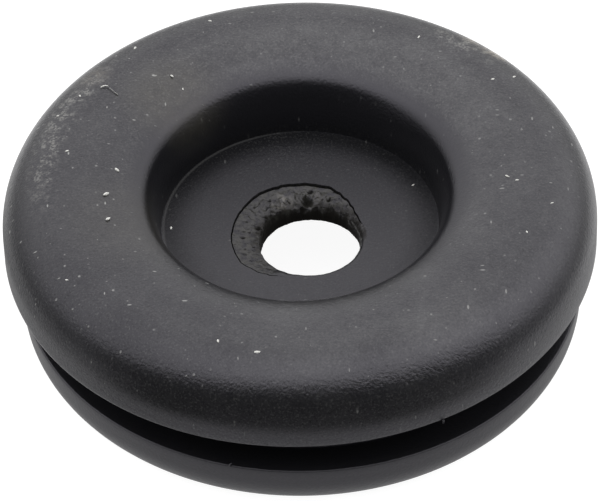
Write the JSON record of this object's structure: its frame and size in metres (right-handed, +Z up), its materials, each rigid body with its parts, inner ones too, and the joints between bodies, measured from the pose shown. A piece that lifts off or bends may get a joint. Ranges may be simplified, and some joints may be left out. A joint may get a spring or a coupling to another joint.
{
  "type": "rubber grommet",
  "caption": "Round moulded rubber grommet with a panel groove between two rounded flanges, a web across its middle and a torn off-centre cable hole.",
  "frame": {"origin": "on the moulding's axis, at the flat underside that the grommet rests on", "axes": "+Z up along the moulding's axis, from the smaller flange to the larger one; -Y towards the side that the torn hole is nearer to"},
  "size_m": [0.038, 0.038, 0.0123],
  "materials": {
    "rubber": "moulded black rubber, matt with a soft sheen, dusty and lightly scuffed"
  },
  "bodies": {
    "root": {"grommet": "rubber"}
  },
  "joints": []
}
